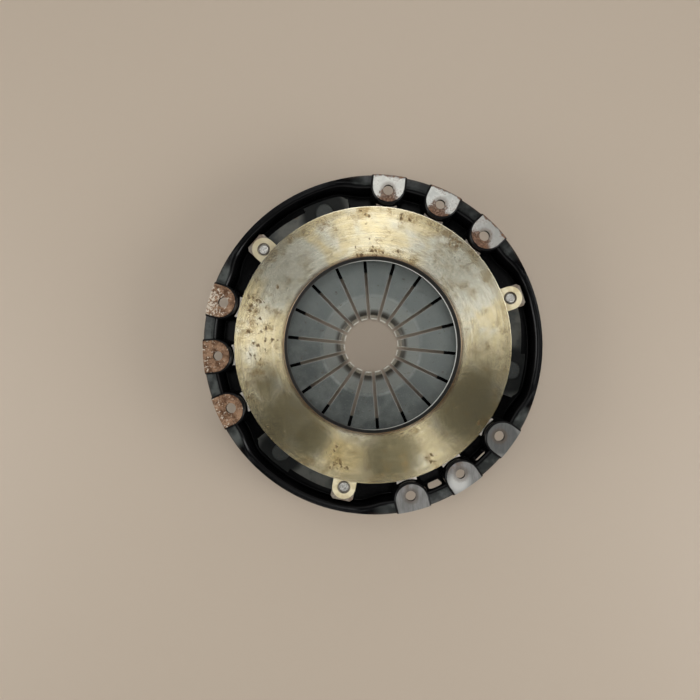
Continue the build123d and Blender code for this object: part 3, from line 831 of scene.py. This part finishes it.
# %% A grid of points made a mesh
def grid_piece(name, points, material, closed=(False, False), caps=False):
    """Rows by columns of points, joined as four-sided faces; closed joins last to first."""
    rows, columns = points.shape[:2]
    index = np.arange(rows * columns).reshape(rows, columns)
    if closed[0]:
        index = np.vstack([index, index[:1]])
    if closed[1]:
        index = np.hstack([index, index[:, :1]])
    faces = np.stack([index[:-1, :-1], index[1:, :-1], index[1:, 1:], index[:-1, 1:]], axis=-1)
    faces = faces.reshape(-1, 4).tolist()
    if caps:
        faces += [index[0, :columns].tolist(), index[-1, :columns][::-1].tolist()]
    mesh = bpy.data.meshes.new(name)
    mesh.from_pydata(points.reshape(-1, 3).tolist(), [], faces)
    work = bmesh.new()
    work.from_mesh(mesh)
    bmesh.ops.remove_doubles(work, verts=work.verts, dist=0.001 * MM)
    bmesh.ops.recalc_face_normals(work, faces=work.faces)
    work.to_mesh(mesh)
    work.free()
    mesh.shade_smooth()
    mesh.set_sharp_from_angle(angle=math.radians(40))
    mesh.materials.append(material)
    piece = bpy.data.objects.new(name, mesh)
    scene.collection.objects.link(piece)
    return piece


def lathe(profile, centre, segments=48):
    """A profile of (radius, height) turned about an upright axis through centre, in mm."""
    profile = np.array(profile, float)
    turn = np.linspace(0, 2 * np.pi, segments, endpoint=False)[:, None]
    x = centre[0] + profile[None, :, 0] * np.cos(turn)
    y = centre[1] + profile[None, :, 0] * np.sin(turn)
    z = np.broadcast_to(profile[None, :, 1], x.shape)
    return np.stack([x, y, z], axis=-1) * MM


print("a lathe of 4 profile points has", lathe([(0, 0), (1, 0), (1, 1), (0, 1)], (0, 0)).shape[:2], "points")

# %% [markdown]
# Every rivet has a straight shank, a head with a rounded edge and a tail closed by a die.
# One profile does for all of them: a row of points for the flat parts and an arc for each
# rounded edge.

# %% Rivets
def rounded_head(radius, base, crown, dome, steps=7):
    """Half profile of a head: from its foot up an arc at the edge to a gently domed top."""
    arc = np.linspace(0, np.pi / 2, steps)
    inner = radius - dome
    side = np.stack([inner + dome * np.cos(arc), crown - dome + dome * np.sin(arc)], axis=1)
    top = np.linspace(1, 0, 5)[1:]
    swell = np.stack([inner * top, np.full_like(top, crown)], axis=1)
    return np.vstack([[[radius, base]], side, swell])


def upright_box(node):
    """Middle of a node's box in plan, then its bottom and top, all in millimetres."""
    low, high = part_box(node)
    return (low.x + high.x) / 2 / MM, (low.y + high.y) / 2 / MM, low.z / MM, high.z / MM


def rivet(node, body, material, head, head_height, head_round, shank, tail, tail_height, tail_round):
    """A rivet from its node's box: tail at the bottom, shank, head at the top."""
    x, y, low, high = upright_box(node)
    top = rounded_head(head, high - head_height, high, head_round)
    bottom = rounded_head(tail, -(low + tail_height), -low, tail_round) * [1, -1]
    shank_line = [[shank, high - head_height], [shank, low + tail_height]]
    profile = np.vstack([top[::-1], shank_line, bottom])
    piece = grid_piece(node + "_formed", lathe(profile, (x, y)), material, closed=(True, False))
    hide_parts(node)
    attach(piece, body)


STRAP_SHANK = {"shank": 4.0, "tail": 6.3, "tail_height": 2.6, "tail_round": 1.1}
SEAT_HEAD = {"head": 7.8, "head_height": 1.8, "head_round": 0.8}
LUG_HEAD = {"head": 4.6, "head_height": 2.1, "head_round": 1.5}
FULCRUM_HEAD = {"head": 7.4, "head_height": 2.5, "head_round": 0.8}
FULCRUM_SHANK = {"shank": 4.0, "tail": 5.6, "tail_height": 2.3, "tail_round": 1.1}
for number in (1, 2, 3):
    rivet(f"cover_strap_rivet_{number}", "cover", shaded_rivet, **SEAT_HEAD, **STRAP_SHANK)
    rivet(f"lug_rivet_{number}", "pressure_plate", bright_rivet, **LUG_HEAD, **STRAP_SHANK)
for number in range(1, 10):
    rivet(f"fulcrum_rivet_{number}", "cover", shaded_rivet, **FULCRUM_HEAD, **FULCRUM_SHANK)
print("fifteen rivets")

# %% [markdown]
# The two fulcrum rings are bent from round wire: a circle carried round a circle.

# %% Fulcrum rings
def wire_ring(node, segments=180, around_wire=16):
    """A torus: its height is the wire's diameter and its box gives the outer radius."""
    low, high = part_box(node)
    wire = (high.z - low.z) / 2 / MM
    ring = (high.x - low.x) / 2 / MM - wire
    turn = np.linspace(0, 2 * np.pi, segments, endpoint=False)[:, None]
    roll = np.linspace(0, 2 * np.pi, around_wire, endpoint=False)[None, :]
    reach = ring + wire * np.cos(roll)
    level = (low.z + high.z) / 2 / MM
    height = level + wire * np.sin(roll) + np.zeros_like(turn)
    points = np.stack([reach * np.cos(turn), reach * np.sin(turn), height], axis=-1)
    piece = grid_piece(node + "_wire", points * MM, strap_material, closed=(True, True))
    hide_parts(node)
    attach(piece, "cover")


wire_ring("fulcrum_ring_cover_side")
wire_ring("fulcrum_ring_plate_side")
print("two rings")

# %% [markdown]
# A leaf is an arc-shaped strip with a round end under the lug and a broad end on the cover's
# seat. In polar terms its edges are two curves, the inner and the outer radius for each
# direction, so the leaf is a grid over direction and width. Its height runs down an S curve
# from the lug to the seat. When the plate moves, one end stays on the cover.

# %% Outline of a leaf
STRIP_HALF_WIDTH = 6.8
LUG_END = 9.9
END_INSIDE = 11.0
END_OUTSIDE = 10.7
END_NEAR = 15.4
END_FAR = 23.0
END_CORNER = 9.0
LEAF_THICK = 0.76


def leaf_edges(turn):
    """Inner and outer radius for each turn, from 0 at the cover's rivet to the span at the lug's."""
    run = STRAP_CIRCLE * np.radians(turn)
    past_lug = run - STRAP_CIRCLE * math.radians(STRAP_SPAN)
    lug_half = np.sqrt(np.clip(LUG_END**2 - past_lug**2, 0, None))
    strip_half = np.where(past_lug < 0, STRIP_HALF_WIDTH, 0)
    near = run < END_NEAR
    into_corner = np.clip(-run - (END_FAR - END_CORNER), 0, END_CORNER)
    corner = END_CORNER - np.sqrt(END_CORNER**2 - into_corner**2)
    inside = np.maximum(np.maximum(lug_half, strip_half), np.where(near, END_INSIDE - corner, 0))
    outside = np.maximum(np.maximum(lug_half, strip_half), np.where(near, END_OUTSIDE - corner, 0))
    return STRAP_CIRCLE - inside, STRAP_CIRCLE + outside


print("edges over the cover's rivet:", [round(float(edge), 1) for edge in leaf_edges(0.0)], "mm")

# %% [markdown]
# Each leaf takes its height and its drop from its own solid's box, so that the three of a pack
# lie on one another as the solids do.

# %% Nine leaves
def leaf(number, layer, middle):
    """One leaf: a grid over direction and width, along the strip's top and back under it."""
    node = f"strap_{number}_leaf_{layer}"
    low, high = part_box(node)
    drop = (high.z - low.z) / MM - LEAF_THICK
    first = -np.degrees(END_FAR / STRAP_CIRCLE)
    step = np.degrees(END_NEAR / STRAP_CIRCLE)
    last = STRAP_SPAN + np.degrees(LUG_END / STRAP_CIRCLE)
    turn = np.concatenate([
        first + (step - first) * (1 - np.cos(np.linspace(0, np.pi / 2, 24))),
        np.linspace(step + 0.01, STRAP_SPAN, 60),
        STRAP_SPAN + (last - STRAP_SPAN) * np.sin(np.linspace(0.1, np.pi / 2 - 0.02, 14)),
    ])
    inner, outer = leaf_edges(turn)
    run = STRAP_CIRCLE * np.radians(turn)
    length = STRAP_CIRCLE * math.radians(STRAP_SPAN)
    share = np.clip((run - END_NEAR - 2) / (length - END_NEAR - 15), 0, 1)
    level = low.z / MM + LEAF_THICK + drop * share * share * (3 - 2 * share)
    across = np.array([0, 0.25, 0.5, 0.75, 1, 1, 0.75, 0.5, 0.25, 0])
    below = np.array([0, 0, 0, 0, 0, 1, 1, 1, 1, 1])
    radius = inner[:, None] + (outer - inner)[:, None] * across[None, :]
    around_axis = np.radians(turn + middle - STRAP_SPAN / 2)[:, None]
    z = level[:, None] - LEAF_THICK * below[None, :]
    points = np.stack([radius * np.cos(around_axis), radius * np.sin(around_axis), z], axis=-1) * MM
    piece = grid_piece(node + "_strip", points, strap_material, closed=(False, True), caps=True)
    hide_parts(node)
    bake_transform(piece)


for number, middle in enumerate(BAY_DIRECTIONS, 1):
    for layer in (1, 2, 3):
        leaf(number, layer, middle)
print("nine leaves")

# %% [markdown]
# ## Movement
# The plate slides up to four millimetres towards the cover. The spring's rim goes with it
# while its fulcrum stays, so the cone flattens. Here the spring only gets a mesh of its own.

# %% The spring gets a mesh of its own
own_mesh(spring_skin)
